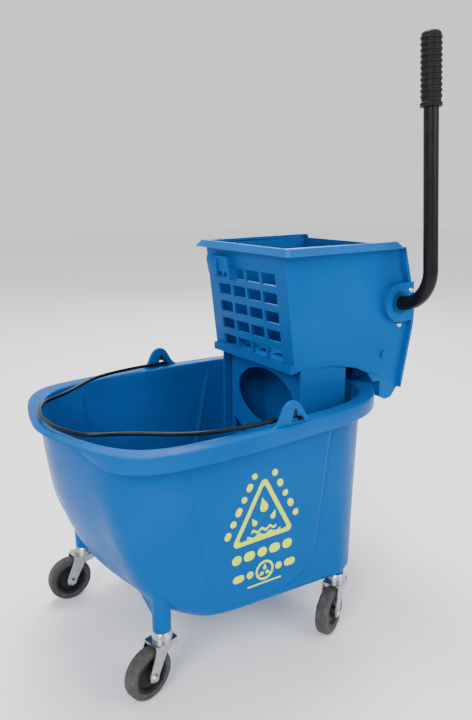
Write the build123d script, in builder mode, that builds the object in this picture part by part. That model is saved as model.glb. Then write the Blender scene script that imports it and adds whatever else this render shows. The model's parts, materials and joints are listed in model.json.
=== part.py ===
from build123d import *
import os
from math import atan2, cos, degrees, exp, hypot, pi, radians, sin, sqrt

# Mop bucket on four swivel casters with a side-press wringer.
# Frame: +Z up, pour spout towards -Y, lever on the +X side, floor at Z = 0. Millimetres.

os.makedirs("parts", exist_ok=True)


def save(node, part):
    part.label = node
    export_step(part, "parts/" + node + ".step")
    return part


# ---------------------------------------------------------------- driving dimensions

# tub
floor_z = 96.0
rim_z = 390.0
wall = 4.0
lip_drop = 25.0
lip_plate = 4.5
bow_fullness = 1.85
bow_rounding = 0.52
shoulder_fullness = 3.2
shoulder_rounding = 0.29

# half plans of the tub, front centre to rear centre, same count in each
rim_plan = [(0, -328), (60, -319), (118, -303), (158, -286), (186, -264), (203, -234),
            (212, -188), (216, -115), (215, -35), (209, 80), (202, 130), (190, 166),
            (170, 198), (142, 226), (108, 244), (60, 252), (0, 254)]
hull_plan = [(0, -312), (56, -303), (110, -285), (144, -266), (166, -244), (180, -215),
             (188, -176), (192, -110), (191, -35), (187, 76), (181, 121), (171, 151),
             (156, 179), (133, 202), (104, 217), (58, 226), (0, 229)]
floor_plan = [(0, -165), (46, -163), (90, -159), (122, -154), (147, -147), (164, -137),
              (174, -121), (181, -90), (188, -20), (196, 66), (199, 100), (189, 128),
              (168, 149), (142, 163), (114, 175), (64, 187), (0, 191)]

# raised side panel on the tub
panel_raise = 2.0
panel_corner = 55.0

# casters: stem position, trail direction in degrees from +X
caster_places = {
    "front_near": (149.0, -210.0, -78.0),
    "front_far": (-149.0, -210.0, -94.0),
    "rear_near": (185.0, 106.0, -65.0),
    "rear_far": (-185.0, 106.0, -85.0),
}
leg_radius = 14.0
leg_bottom = 95.0
stem_radius = 5.6
stem_top = 128.0
fit = 0.05
trail = 28.7
wheel_radius = 38.1
wheel_width = 21.0
fork_gap = 27.0
fork_plate = 2.5

# bail
wire = 3.0
bail_y = 2.0
bail_z = 397.5
ear_x = 202.5
ear_thick = 6.5

# wringer
hopper_wall = 4.0
hopper_top = 633.0
hopper_front_half = 113.0
hopper_rear_half = 131.0
hopper_front_y = 43.0
hopper_rear_y = 328.0
lip_half = 140.0
grid_columns = 4
grid_rows = 5
hole_wide = 38.0
hole_tall = 20.0
hole_pitch_x = 44.5
hole_pitch_z = 32.5
grid_mid_z = 522.0

# lever shaft and press gearing
shaft_y = 289.0
shaft_z = 533.0
tube_radius = 12.5
tube_wall = 2.0
module = 3.0
pinion_teeth = 20
sector_teeth = 44
pinion_radius = module * pinion_teeth / 2
sector_radius = module * sector_teeth / 2
hinge_y = 262.0
hinge_z = shaft_z - sqrt((pinion_radius + sector_radius) ** 2 - (shaft_y - hinge_y) ** 2)
gear_in = 99.0
gear_thick = 11.0
bend_radius = 60.0
lever_bend_x = 202.0
lever_top_x = 178.0
lever_top = 977.0
grip_length = 116.0
grip_radius = 17.0


# ---------------------------------------------------------------- tub outline helpers

def inset(points, amount):
    """Move each point of a half plan inward, square to its neighbours."""
    moved = []
    for i, (x, y) in enumerate(points):
        if i == 0:
            moved.append((x, y + amount))
        elif i == len(points) - 1:
            moved.append((x, y - amount))
        else:
            dx = points[i + 1][0] - points[i - 1][0]
            dy = points[i + 1][1] - points[i - 1][1]
            length = hypot(dx, dy)
            moved.append((x - dy / length * amount, y + dx / length * amount))
    return moved


def wall_share(x, y, z):
    """How far the wall has swept from foot to rim; the bow is rounded under, fuller at its shoulders."""
    high = (z - floor_z) / (rim_z - floor_z)
    forward = min(1.0, max(0.0, (-y - 40.0) / 160.0))
    forward = forward * forward * (3 - 2 * forward)
    shoulder = exp(-((abs(x) - 165.0) / 40.0) ** 2)
    power = bow_fullness + shoulder_fullness * shoulder
    swept = (1 - (1 - high) ** power) ** (bow_rounding + shoulder_rounding * shoulder)
    return high * (1 - forward) + swept * forward


def hull_at(z, amount):
    """Half plan of the tub wall at a height, moved inward by an amount."""
    points = []
    for (xt, yt), (xb, yb) in zip(hull_plan, floor_plan):
        share = wall_share(xt, yt, z)
        points.append((xb + (xt - xb) * share, yb + (yt - yb) * share))
    return inset(points, amount)


def closed_outline(points):
    """Smooth closed outline from a half plan and its mirror image."""
    Spline(*points, tangents=((1, 0), (-1, 0)))
    mirror(about=Plane.YZ)


def hull_solid(amount, rise):
    """Loft through closely spaced levels near the foot; a rise lifts every level for a thick floor."""
    with BuildPart() as solid:
        for z in (96, 99, 105, 115, 130, 155, 190, 235, 285, 340, 390):
            with BuildSketch(Plane.XY.offset(z + rise)):
                with BuildLine():
                    closed_outline(hull_at(z, amount))
                make_face()
        loft()
    return solid.part


# ---------------------------------------------------------------- tub

outer = hull_solid(0, 0)
outer_raised = hull_solid(-panel_raise, 0)
inner = hull_solid(wall - 0.5, wall)

with BuildPart() as tub:
    add(outer)
    # raised panels, one on each side, rounded at the bottom
    with BuildPart(mode=Mode.PRIVATE) as panels:
        with BuildSketch(Plane.YZ) as panel_shape:
            with BuildLine():
                Polyline((-186, 372), (-142, 116), (38, 110), (88, 372), close=True)
            make_face()
            low_corners = panel_shape.vertices().sort_by(Axis.Y)[:2]
            fillet(low_corners, panel_corner)
        extrude(amount=230, both=True)
        add(outer_raised, mode=Mode.INTERSECT)
    add(panels.part)
    # caster legs with a gusset reaching in under the bow
    for place, (x, y, turn) in caster_places.items():
        side = 1 if x > 0 else -1
        if y < 0:
            with Locations((x, y, leg_bottom)):
                Cylinder(leg_radius, 85, align=(Align.CENTER, Align.CENTER, Align.MIN))
            with BuildSketch(Plane.XZ.offset(-y)):
                with BuildLine():
                    Polyline((side * 149, leg_bottom + 3), (side * 60, leg_bottom + 22),
                             (side * 60, leg_bottom + 40), (side * 149, leg_bottom + 75), close=True)
                make_face()
            extrude(amount=2.5, both=True)
    # rim plate and turned-down lip
    with BuildSketch(Plane.XY.offset(rim_z - lip_plate)):
        with BuildLine():
            closed_outline(rim_plan)
        make_face()
    extrude(amount=lip_plate)
    with BuildSketch(Plane.XY.offset(rim_z - lip_drop)):
        with BuildLine():
            closed_outline(rim_plan)
        make_face()
        with BuildLine():
            closed_outline(inset(rim_plan, wall))
        make_face(mode=Mode.SUBTRACT)
    extrude(amount=lip_drop - 1)
    # ears for the bail
    for side in (-1, 1):
        with BuildSketch(Plane.YZ.offset(side * ear_x)) as ear:
            with BuildLine():
                Spline((-52, rim_z - 1), (-32, 414), (-12, 426), (6, 416), (32, rim_z - 1),
                       tangents=((1, 0.15), (1, -0.15)))
                Line((32, rim_z - 1), (-52, rim_z - 1))
            make_face()
            with BuildLine():
                Polyline((bail_y - 1, bail_z + 1.5), (bail_y - 8, rim_z + 24),
                         (bail_y - 11, rim_z + 24), (bail_y - 16, bail_z - 2.4),
                         (bail_y - 1, bail_z - 2.4), close=True)
            make_face(mode=Mode.SUBTRACT)
            with Locations((bail_y, bail_z)):
                Circle(wire + fit, mode=Mode.SUBTRACT)
        extrude(amount=side * ear_thick)
    # basin and caster stem sockets
    add(inner, mode=Mode.SUBTRACT)
    for place, (x, y, turn) in caster_places.items():
        with Locations((x, y, leg_bottom)):
            if y > 0:
                Cylinder(leg_radius, 42, align=(Align.CENTER, Align.CENTER, Align.MIN))
            Cylinder(stem_radius + fit, stem_top - leg_bottom + 2,
                     align=(Align.CENTER, Align.CENTER, Align.MIN), mode=Mode.SUBTRACT)
save("tub", tub.part)


# ---------------------------------------------------------------- bail wire

bail_in = ear_x - wire - 4
with BuildPart() as bail:
    with BuildLine() as bail_path:
        end = Line((ear_x + ear_thick + 5, bail_y, bail_z), (bail_in + 6.5, bail_y, bail_z))
        turn = CenterArc((bail_in + 6.5, bail_y - 6.5, bail_z), 6.5, 90, 90)
        sweep_side = Spline((bail_in, bail_y - 6.5, bail_z), (191, -99, bail_z), (174, -160, bail_z),
                            (138, -211, bail_z), (108, -254, bail_z), (86, -288, bail_z),
                            (46, -307, bail_z), (0, -313, bail_z), tangents=((0, -1, 0), (-1, 0, 0)))
        mirror(about=Plane.YZ)
    with BuildSketch(Plane((ear_x + ear_thick + 5, bail_y, bail_z), z_dir=(-1, 0, 0))):
        Circle(wire)
    sweep()
save("bail_handle", bail.part)


# ---------------------------------------------------------------- casters

def caster_frame(place):
    """Plane at the stem, its own X pointing along the trail."""
    x, y, turn = caster_places[place]
    return Plane(origin=(x, y, 0), x_dir=(cos(radians(turn)), sin(radians(turn)), 0), z_dir=(0, 0, 1))


def caster_stem(place):
    """Kingpin with the fixed upper bearing cup; it stays with the tub."""
    with BuildPart(caster_frame(place)) as stem:
        with Locations((0, 0, 74.5)):
            Cylinder(stem_radius, stem_top - 74.5, align=(Align.CENTER, Align.CENTER, Align.MIN))
            Cylinder(9.5, 3.2, align=(Align.CENTER, Align.CENTER, Align.MIN))
        with Locations((0, 0, 88.0)):
            Cone(16.0, 12.5, 6.7, align=(Align.CENTER, Align.CENTER, Align.MIN))
        chamfer(stem.edges().group_by(Axis.Z)[-1], 1.2)
    save("caster_stem_" + place, stem.part)


def caster_race(place):
    """Lower bearing cup, turning with the fork."""
    with BuildPart(caster_frame(place)) as race:
        with Locations((0, 0, 81.8)):
            Cylinder(15.5, 5.8, align=(Align.CENTER, Align.CENTER, Align.MIN))
            Cylinder(stem_radius + fit, 5.8, align=(Align.CENTER, Align.CENTER, Align.MIN),
                     mode=Mode.SUBTRACT)
        fillet(race.edges().group_by(Axis.Z)[-1].sort_by(SortBy.LENGTH)[-1], 1.6)
    save("caster_race_" + place, race.part)


def caster_fork(place):
    """Pressed fork: a crown plate and two legs swept back to the axle."""
    stem = caster_frame(place)
    outside = fork_gap / 2 + fork_plate
    with BuildPart() as fork:
        # crown
        with BuildSketch(stem.offset(78.6)):
            with Locations((2, 0)):
                RectangleRounded(40, outside * 2, 5)
            Circle(stem_radius + 0.6, mode=Mode.SUBTRACT)
        extrude(amount=3.2)
        # legs
        for side in (-1, 1):
            foot = stem.from_local_coords((0, side * fork_gap / 2, 0))
            with BuildSketch(Plane(origin=foot, x_dir=stem.x_dir, z_dir=-stem.y_dir)):
                with BuildLine():
                    Polyline((-16, 81.8), (21, 81.8), (trail + 8.5, 42), (trail + 7.5, 33.5),
                             (trail, 30), (trail - 7, 32.5), (trail - 9, 39), (4, 68), (-16, 73),
                             close=True)
                make_face()
                with Locations((trail, wheel_radius)):
                    Circle(4.0 + fit, mode=Mode.SUBTRACT)
            extrude(amount=-side * fork_plate)
    save("caster_fork_" + place, fork.part)


def wheel_part(node, place, section):
    """Turn a closed half section of (radius, across) points about the axle of a caster."""
    stem = caster_frame(place)
    centre = stem.from_local_coords((trail, 0, wheel_radius))
    plane = Plane(origin=centre, x_dir=(0, 0, 1), z_dir=stem.x_dir)
    with BuildPart() as wheel:
        with BuildSketch(plane):
            with BuildLine():
                Polyline(*section, close=True)
            make_face()
        revolve(axis=Axis(plane.origin, plane.y_dir))
    save(node + "_" + place, wheel.part)


def caster_axle(place):
    """Bolt through the fork and wheel, with a domed head and a nut."""
    stem = caster_frame(place)
    centre = stem.from_local_coords((trail, 0, wheel_radius))
    plane = Plane(origin=centre, x_dir=(0, 0, 1), z_dir=stem.y_dir)
    outside = fork_gap / 2 + fork_plate
    with BuildPart(plane) as axle:
        Cylinder(4.0, outside * 2 + 9)
        with Locations((0, 0, outside + 0.3)):
            Cone(6.5, 4.0, 3.6, align=(Align.CENTER, Align.CENTER, Align.MIN))
        with BuildSketch(plane.offset(-outside - 0.3)):
            RegularPolygon(7.0, 6)
        extrude(amount=-4.5)
    save("caster_axle_" + place, axle.part)


bore = 4.0 + fit
half = wheel_width / 2
hub_section = [(bore, -12.9), (9, -12.9), (10, -8), (20, -6), (22.5, -9.6), (27, -9.6),
               (27, 9.6), (22.5, 9.6), (20, 6), (10, 8), (9, 12.9), (bore, 12.9)]
tyre_section = [(27.02, -9.6), (28, -half + 0.4), (34, -half), (37, -half + 2), (wheel_radius, -half + 5),
                (wheel_radius, half - 5), (37, half - 2), (34, half), (28, half - 0.4), (27.02, 9.6)]

for place in caster_places:
    caster_stem(place)
    caster_race(place)
    caster_fork(place)
    wheel_part("caster_hub", place, hub_section)
    wheel_part("caster_tyre", place, tyre_section)
    caster_axle(place)


# ---------------------------------------------------------------- wringer hopper

def hopper_profile(top):
    """Side view of the hopper body in (Y, Z); the rear laps over the tub rim as a hook."""
    rise = top - hopper_top
    lean_front = (hopper_front_y - 67.0) / (hopper_top - 436.0)
    lean_rear = (294.0 - hopper_rear_y) / (hopper_top - shaft_z)
    return [(hopper_front_y + lean_front * rise, top), (67, 436), (150, 436), (200, 424),
            (234, 408), (257.5, 399), (257.5, 362), (272, 354), (286, 357), (300, 374),
            (325, 488), (hopper_rear_y, shaft_z), (294 + lean_rear * rise, top)]


def hopper_block(top, inward):
    """Solid block of the hopper; with inward set it is the cavity for that wall thickness."""
    with BuildPart() as block:
        with BuildSketch(Plane.YZ):
            with BuildLine():
                Polyline(*hopper_profile(top), close=True)
            make_face()
            if inward:
                offset(amount=-inward, kind=Kind.INTERSECTION)
        extrude(amount=150, both=True)
        with BuildSketch(Plane.XY.offset(300)):
            with BuildLine():
                Polyline((-hopper_front_half + inward, 20), (-hopper_rear_half + inward, 340),
                         (hopper_rear_half - inward, 340), (hopper_front_half - inward, 20), close=True)
            make_face()
        extrude(amount=450, mode=Mode.INTERSECT)
    return block.part


def flare(drop):
    """Sloping block that gives the hopper its flared rim."""
    with BuildPart() as block:
        with BuildSketch(Plane.XY.offset(616 - drop)):
            with Locations((0, 165)):
                RectangleRounded(2 * lip_half, 268, 10)
        with BuildSketch(Plane.XY.offset(640 - drop)):
            with Locations((0, 166)):
                RectangleRounded(2 * lip_half - 24, 252, 6)
        loft()
    return block.part


def front_wall_y(z):
    return hopper_front_y + (67.0 - hopper_front_y) * (hopper_top - z) / (hopper_top - 436.0)


front_tilt = degrees(atan2(67.0 - hopper_front_y, hopper_top - 436.0))

with BuildPart() as rim:
    add(flare(0))
    add(flare(4.5), mode=Mode.SUBTRACT)
    with Locations((0, 310, 628)):
        Box(236, 60, 60, mode=Mode.SUBTRACT)

with BuildPart() as rear_flange:
    with BuildSketch(Plane.YZ):
        with BuildLine():
            Polyline(*hopper_profile(hopper_top), close=True)
        make_face()
        offset(amount=-6, kind=Kind.INTERSECTION, mode=Mode.SUBTRACT)
        with Locations((330, 500)):
            Rectangle(64, 250, mode=Mode.INTERSECT)
    extrude(amount=lip_half - 1, both=True)

with BuildPart() as hopper:
    add(hopper_block(hopper_top, 0))
    add(rim.part)
    add(rear_flange.part)
    # pads that rest on the rim inside the hook
    for x in (-60, 60):
        with Locations((x, 244, 398.2)):
            Box(40, 16, 16)
    # ledge along the foot of the front wall
    with Locations((0, 66, 440)):
        Box(2 * hopper_front_half + 4, 14, 14)
    # hanger boss on the upper left of the front wall
    with Locations((-62, front_wall_y(602) - 3, 602)):
        Box(62, 12, 24)
    # lever bosses, one on each side, squared off towards the rear
    for side in (-1, 1):
        with BuildSketch(Plane.YZ.offset(side * 126)):
            with Locations((shaft_y, shaft_z)):
                Circle(35)
            with Locations((shaft_y + 17, shaft_z)):
                Rectangle(34, 70)
        extrude(amount=side * 13)
    # chamber
    add(hopper_block(hopper_top + 40, hopper_wall), mode=Mode.SUBTRACT)
    # sloping sill that closes the hook off from the chamber
    with BuildSketch(Plane.YZ):
        with BuildLine():
            Polyline((256, 400), (312, 420), (312, 424), (256, 404), close=True)
        make_face()
    extrude(amount=126, both=True)
    # the hook is open underneath
    with Locations((0, 279, 358)):
        Box(238, 34, 20, mode=Mode.SUBTRACT)
    # drain grid in the front wall
    with Locations(Location((0, front_wall_y(grid_mid_z), grid_mid_z), (front_tilt, 0, 0))):
        with GridLocations(hole_pitch_x, 1, grid_columns, 1):
            for row in range(grid_rows):
                with Locations((0, 0, (row - (grid_rows - 1) / 2) * hole_pitch_z)):
                    Box(hole_wide, 18, hole_tall, mode=Mode.SUBTRACT)
    # drain slots in the floor and in the slope behind it
    with Locations((0, 112, 438)):
        with GridLocations(44, 30, 4, 3):
            Box(30, 14, 12, mode=Mode.SUBTRACT)
    with Locations((0, 208, 424)):
        with GridLocations(44, 1, 4, 1):
            Box(30, 14, 40, mode=Mode.SUBTRACT)
    # seats for the shaft bushes and the hinge rod
    with Locations(Location((0, shaft_y, shaft_z), (0, 90, 0))):
        Cylinder(16 + fit, 320, mode=Mode.SUBTRACT)
    with Locations(Location((0, hinge_y, hinge_z), (0, 90, 0))):
        Cylinder(6 + fit, 320, mode=Mode.SUBTRACT)
    # pilot holes for the side screws
    for side in (-1, 1):
        for (y, z) in ((315, 553), (298, 490)):
            with Locations(Location((side * 130, y, z), (0, 90, 0))):
                Cylinder(2.0 + fit, 30, mode=Mode.SUBTRACT)
save("wringer_hopper", hopper.part)


# ---------------------------------------------------------------- wringer skirt

skirt_top = 435.9
skirt_low = 262.0

with BuildPart() as skirt:
    # side panels follow the underside of the hopper
    for side in (-1, 1):
        with BuildSketch(Plane.YZ.offset(side * 112)):
            with BuildLine():
                Polyline((80, skirt_top), (150, skirt_top), (182, 427.9), (182, skirt_low),
                         (80, skirt_low), close=True)
            make_face()
        extrude(amount=side * 4)
    # front and rear panels
    with Locations((0, 92, (skirt_top + skirt_low) / 2)):
        Box(200, 4, skirt_top - skirt_low)
    with Locations((0, 180, (427.5 + skirt_low) / 2)):
        Box(228, 4, 427.5 - skirt_low)
    # ties between the front panel and the sides
    for z in (skirt_top - 3, skirt_low + 5):
        for side in (-1, 1):
            with Locations((side * 106, 97, z)):
                Box(14, 14, 6)
    # throat and the small corner windows of the front panel
    with BuildSketch(Plane.XZ.offset(-92)):
        with Locations((4, 362)):
            Ellipse(84, 52)
    extrude(amount=10, both=True, mode=Mode.SUBTRACT)
    with BuildSketch(Plane.XZ.offset(-92)):
        for side in (-1, 1):
            with BuildLine():
                Polyline((side * 92, 300), (side * 92, 272), (side * 48, 272), close=True)
            make_face()
    extrude(amount=10, both=True, mode=Mode.SUBTRACT)
    # floor bars
    for y in (125, 160):
        with Locations((0, y, skirt_low + 4)):
            Box(226, 8, 8)
save("wringer_skirt", skirt.part)


# ---------------------------------------------------------------- press gearing

def gear_points(centre, teeth, first, last, phase):
    """Tooth outline from tooth number first to last; straight flanks with running backlash."""
    pitch = module * teeth / 2
    half_tooth = module * pi / 4 - 0.28
    levels = [(pitch - 3.6, half_tooth + 1.25), (pitch + 2.6, half_tooth - 0.95)]
    points = []
    for i in range(first, last + 1):
        middle = phase + 2 * pi * i / teeth
        for radius, half_width in (levels[0], levels[1]):
            points.append((radius, middle - half_width / radius))
        for radius, half_width in (levels[1], levels[0]):
            points.append((radius, middle + half_width / radius))
    return [(centre[0] + radius * cos(angle), centre[1] + radius * sin(angle))
            for radius, angle in points]


mesh_angle = atan2(shaft_z - hinge_z, shaft_y - hinge_y)


def pinion(node, side):
    """Small gear keyed on the lever tube."""
    with BuildPart() as gear:
        with BuildSketch(Plane.YZ.offset(side * gear_in)):
            with BuildLine():
                Polyline(*gear_points((shaft_y, shaft_z), pinion_teeth, 0, pinion_teeth - 1,
                                      mesh_angle + pi), close=True)
            make_face()
            with Locations((shaft_y, shaft_z)):
                Circle(tube_radius + 0.02, mode=Mode.SUBTRACT)
        extrude(amount=side * gear_thick)
    save(node, gear.part)


pinion("pinion_near", 1)
pinion("pinion_far", -1)

with BuildPart() as press:
    # flat board with a ribbed front
    with Locations((0, 240, 529)):
        Box(220, 8, 166)
    for i in range(9):
        with Locations(((i - 4) * 24, 234.5, 529)):
            Box(6, 3, 150)
    # stiffening rails behind the board
    for z in (470, 600):
        with Locations((0, 247, z)):
            Box(180, 6, 6)
    # toothed quadrants on hinge hubs
    half_step = pi / sector_teeth
    for side in (-1, 1):
        with BuildSketch(Plane.YZ.offset(side * gear_in)):
            with BuildLine():
                Polyline((hinge_y, hinge_z), *gear_points((hinge_y, hinge_z), sector_teeth, -5, 0,
                                                          mesh_angle + half_step), close=True)
            make_face()
            with Locations((hinge_y, hinge_z)):
                Circle(12)
            with BuildLine():
                Polyline((238, 449), (262, 436), (268, 504), (262, 512), (238, 512), close=True)
            make_face()
            with Locations((hinge_y, hinge_z)):
                Circle(6 + fit, mode=Mode.SUBTRACT)
        extrude(amount=side * gear_thick)
save("press_plate", press.part)

with BuildPart() as hinge_rod:
    with Locations(Location((0, hinge_y, hinge_z), (0, 90, 0))):
        Cylinder(6, 262)
save("hinge_rod", hinge_rod.part)


# ---------------------------------------------------------------- lever

lean = atan2(lever_bend_x - lever_top_x, lever_top - shaft_z - bend_radius)
corner_x = lever_top_x + (lever_top - shaft_z) * sin(lean) / cos(lean)
far_end = -146.0

with BuildPart() as tube:
    with BuildLine() as run:
        FilletPolyline((far_end, shaft_y, shaft_z), (corner_x, shaft_y, shaft_z),
                       (lever_top_x + 7 * sin(lean), shaft_y, lever_top - 7 * cos(lean)),
                       radius=bend_radius)
    with BuildSketch(Plane((far_end, shaft_y, shaft_z), z_dir=(1, 0, 0))):
        Circle(tube_radius)
        Circle(tube_radius - tube_wall, mode=Mode.SUBTRACT)
    sweep()
save("lever_tube", tube.part)


# ribbed hand grip, drawn along the leaning top of the tube
grip_end = Plane(origin=(lever_top_x, shaft_y, lever_top), x_dir=(cos(lean), 0, sin(lean)),
                 z_dir=(0, 1, 0))
with BuildPart() as grip:
    with BuildSketch(grip_end) as half_section:
        with BuildLine():
            Polyline((0, 0), (grip_radius - 4, 0), (grip_radius - 1, 3), (grip_radius - 1, grip_length - 8),
                     (grip_radius + 1, grip_length - 6), (grip_radius + 1, grip_length),
                     (tube_radius + fit, grip_length), (tube_radius + fit, 4.5), (0, 4.5), close=True)
        make_face()
        for i in range(11):
            with Locations((grip_radius - 1, 10 + i * 9)):
                RectangleRounded(3, 5, 1.2)
    revolve(axis=Axis(grip_end.origin, grip_end.y_dir))
save("lever_grip", grip.part)


for node, side in (("lever_bush_near", 1), ("lever_bush_far", -1)):
    with BuildPart() as bush:
        with BuildSketch(Plane.YZ.offset(side * 122)):
            with Locations((shaft_y, shaft_z)):
                Circle(16)
                Circle(tube_radius + fit, mode=Mode.SUBTRACT)
        extrude(amount=side * 17.1)
        with BuildSketch(Plane.YZ.offset(side * 139.1)):
            with Locations((shaft_y, shaft_z)):
                Circle(20)
                Circle(tube_radius + fit, mode=Mode.SUBTRACT)
        extrude(amount=side * 2.4)
    save(node, bush.part)

with BuildPart() as collar:
    with BuildSketch(Plane.YZ.offset(-141.9)):
        with Locations((shaft_y, shaft_z)):
            Circle(18)
            Circle(tube_radius + 0.02, mode=Mode.SUBTRACT)
    extrude(amount=-5)
    with BuildSketch(Plane.YZ.offset(-146.05)):
        with Locations((shaft_y, shaft_z)):
            Circle(18)
    extrude(amount=-3)
save("shaft_collar", collar.part)

with BuildPart() as spring:
    coil_radius = 17.0
    coil_length = 46.0
    turns = 8
    with BuildLine():
        coil = Helix(pitch=coil_length / turns, height=coil_length, radius=coil_radius,
                     center=(20, shaft_y, shaft_z), direction=(1, 0, 0))
    with BuildSketch(Plane(coil @ 0, z_dir=coil % 0)):
        Circle(1.6)
    sweep()
save("return_spring", spring.part)


with BuildPart() as screws:
    for side in (-1, 1):
        for (y, z, seat) in ((315, 553, 139.0), (298, 490, 129.2)):
            turn = 90 if side > 0 else -90
            with Locations(Location((side * (seat + 0.1), y, z), (0, turn, 0))):
                Cylinder(2.0, 12, align=(Align.CENTER, Align.CENTER, Align.MAX))
                Cone(4.6, 3.2, 2.6, align=(Align.CENTER, Align.CENTER, Align.MIN))
save("side_screws", screws.part)
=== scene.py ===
# %% [markdown]
# # A mop bucket with a side-press wringer
# The bucket is an injection moulding in bright blue plastic, standing on four swivel casters.
# A wringer hangs on its rear rim and is worked by a tall cranked lever. The exact solids come
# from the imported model; this lesson gives them their finishes, and remodels the pieces whose
# soft moulded shapes a plain solid can't show.

# %% load the frame
import json
from math import cos, exp, hypot, pi, radians, sin, tan

import bmesh
import bpy
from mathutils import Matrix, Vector


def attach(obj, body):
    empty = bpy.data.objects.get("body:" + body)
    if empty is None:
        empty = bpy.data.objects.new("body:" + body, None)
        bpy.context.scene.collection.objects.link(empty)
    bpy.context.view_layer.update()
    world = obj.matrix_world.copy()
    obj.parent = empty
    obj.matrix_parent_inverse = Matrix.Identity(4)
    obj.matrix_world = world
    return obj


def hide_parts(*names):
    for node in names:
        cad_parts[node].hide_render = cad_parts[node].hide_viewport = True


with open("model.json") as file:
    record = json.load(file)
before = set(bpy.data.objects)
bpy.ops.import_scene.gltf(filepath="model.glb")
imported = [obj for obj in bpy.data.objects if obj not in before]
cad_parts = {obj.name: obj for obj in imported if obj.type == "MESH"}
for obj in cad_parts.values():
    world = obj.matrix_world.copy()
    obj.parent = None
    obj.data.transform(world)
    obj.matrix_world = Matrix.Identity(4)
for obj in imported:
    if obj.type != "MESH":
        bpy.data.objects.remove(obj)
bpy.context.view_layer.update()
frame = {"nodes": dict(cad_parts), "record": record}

MM = 0.001

# %% [markdown]
# ## Camera, floor and light
# The camera looks down a little on the lever side of the bucket. A pale floor and large soft
# lamps keep the shadows gentle, so the blue reads evenly and the moulded edges catch a highlight.
# One strong lamp would be quicker to set, but it would throw the inside of the tub into the dark.

# %% camera
LOOK_DOWN, ROLL, TURN = 11.87, 0.24, 54.84

camera_data = bpy.data.cameras.new("camera")
camera_data.lens = 33.93
camera_data.sensor_width = 36.0
camera_data.shift_x = -0.0061
camera_data.shift_y = -0.0446
camera_data.clip_end = 50
camera = bpy.data.objects.new("camera", camera_data)
camera.location = (0.947, -0.6265, 0.738)
camera.rotation_euler = (radians(90 - LOOK_DOWN), radians(ROLL), radians(TURN))
bpy.context.collection.objects.link(camera)
bpy.context.scene.camera = camera
print("camera at", tuple(camera.location))

# %% floor
FLOOR_TONE = (0.93, 0.93, 0.93, 1)
FLOOR_SIZE, FLOOR_DROP = 9, 0.0006


def pale_floor():
    bm = bmesh.new()
    bmesh.ops.create_grid(bm, x_segments=1, y_segments=1, size=FLOOR_SIZE)
    mesh = bpy.data.meshes.new("floor")
    bm.to_mesh(mesh)
    bm.free()
    floor = bpy.data.objects.new("floor", mesh)
    floor.location.z = -FLOOR_DROP
    bpy.context.collection.objects.link(floor)
    paint = bpy.data.materials.new("floor_paint")
    paint.use_nodes = True
    shader = paint.node_tree.nodes["Principled BSDF"]
    shader.inputs["Base Color"].default_value = FLOOR_TONE
    shader.inputs["Roughness"].default_value = 0.9
    mesh.materials.append(paint)


pale_floor()
print("floor laid")

# %% lamps and sky
# each lamp: where it stands, the height it aims at, its diameter in metres and its power in watts
LAMPS = {"lamp_front": ((1.6, -2.4, 2.2), 0.35, 1.6, 75),
         "lamp_side": ((2.6, 0.9, 1.6), 0.4, 1.4, 34),
         "lamp_top": ((-0.8, 0.2, 2.9), 0.3, 1.4, 85),
         "lamp_back": ((-2.2, 1.8, 1.9), 0.5, 1.4, 30)}


def soft_lamp(name, place, aim_height, size, power):
    data = bpy.data.lights.new(name, "AREA")
    data.shape = "DISK"
    data.size = size
    data.energy = power
    lamp = bpy.data.objects.new(name, data)
    lamp.location = place
    aim = Vector((0, 0, aim_height)) - Vector(place)
    lamp.rotation_euler = aim.to_track_quat("-Z", "Y").to_euler()
    bpy.context.collection.objects.link(lamp)


for lamp_name, settings in LAMPS.items():
    soft_lamp(lamp_name, *settings)

world = bpy.data.worlds.new("studio")
world.use_nodes = True
world.node_tree.nodes["Background"].inputs["Color"].default_value = (1, 1, 1, 1)
world.node_tree.nodes["Background"].inputs["Strength"].default_value = 1.0
bpy.context.scene.world = world
print("lamps placed:", ", ".join(LAMPS))

# %% [markdown]
# ## Finishes
# Each finish is a Principled shader fed by small noise patterns on Object coordinates, which are
# metres here, so a noise scale of 1000 is about a one millimetre grain. Colour drifts slowly over
# the piece, roughness breaks up the highlight, and a shallow bump gives the surface its texture.
# Image textures would also do, but patterns like these have no seams and need no unwrapping.

# %% a helper for every finish


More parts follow.
